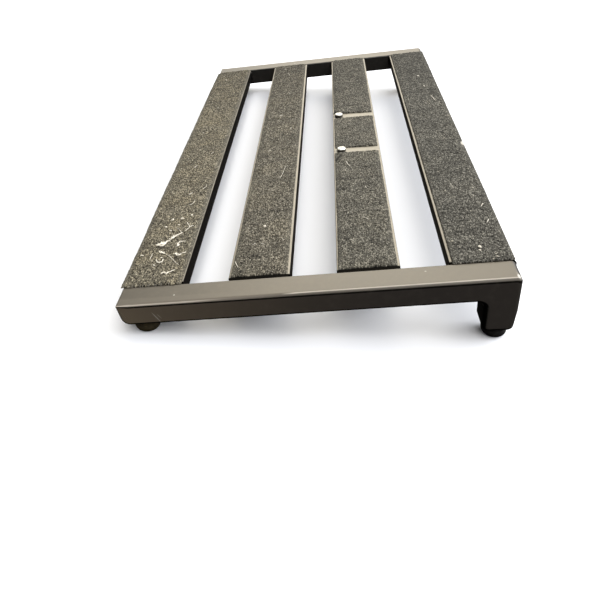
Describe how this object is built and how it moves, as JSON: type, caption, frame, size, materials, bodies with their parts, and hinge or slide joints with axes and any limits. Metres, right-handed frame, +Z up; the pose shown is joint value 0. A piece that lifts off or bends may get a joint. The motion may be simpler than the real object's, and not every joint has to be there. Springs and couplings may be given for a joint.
{
  "type": "pedalboard",
  "caption": "Sloped open-rail board for guitar effect pedals: flat rails with loop tape between two legged end frames on rubber feet.",
  "frame": {"origin": "centre of the footprint, on the floor", "axes": "+X along the rails towards the right end frame, +Y from the low front to the raised rear, +Z up"},
  "size_m": [0.6096, 0.3202, 0.0652],
  "materials": {
    "frame_coat": "fine satin black powder coat, brownish where it catches light, small nicks",
    "rail_coat": "satin black powder coat over rectangular tube",
    "loop_pile": "worn dark grey-brown loop tape, napped pile with lint and pale hairs",
    "foot_rubber": "matt black moulded rubber",
    "zinc_steel": "bright zinc plated steel",
    "bright_steel": "bright nickel plated steel screw heads"
  },
  "bodies": {
    "root": {"end_frame_left": "frame_coat", "end_frame_right": "frame_coat", "rail_1_front": "rail_coat", "rail_2": "rail_coat", "rail_3": "rail_coat", "rail_4_rear": "rail_coat", "loop_strip_1": "loop_pile", "loop_strip_2": "loop_pile", "loop_strip_3_left": "loop_pile", "loop_strip_3_middle": "loop_pile", "loop_strip_3_right": "loop_pile", "loop_strip_4": "loop_pile", "foot_front_left": "foot_rubber", "foot_washer_front_left": "zinc_steel", "foot_screw_front_left": "zinc_steel", "rivet_nut_front_left": "zinc_steel", "foot_front_right": "foot_rubber", "foot_washer_front_right": "zinc_steel", "foot_screw_front_right": "zinc_steel", "rivet_nut_front_right": "zinc_steel", "foot_rear_left": "foot_rubber", "foot_washer_rear_left": "zinc_steel", "foot_screw_rear_left": "zinc_steel", "rivet_nut_rear_left": "zinc_steel", "foot_rear_right": "foot_rubber", "foot_washer_rear_right": "zinc_steel", "foot_screw_rear_right": "zinc_steel", "rivet_nut_rear_right": "zinc_steel", "deck_screw_1": "bright_steel", "deck_washer_1": "zinc_steel", "deck_nut_1": "zinc_steel", "deck_screw_2": "bright_steel", "deck_washer_2": "zinc_steel", "deck_nut_2": "zinc_steel"}
  },
  "joints": []
}
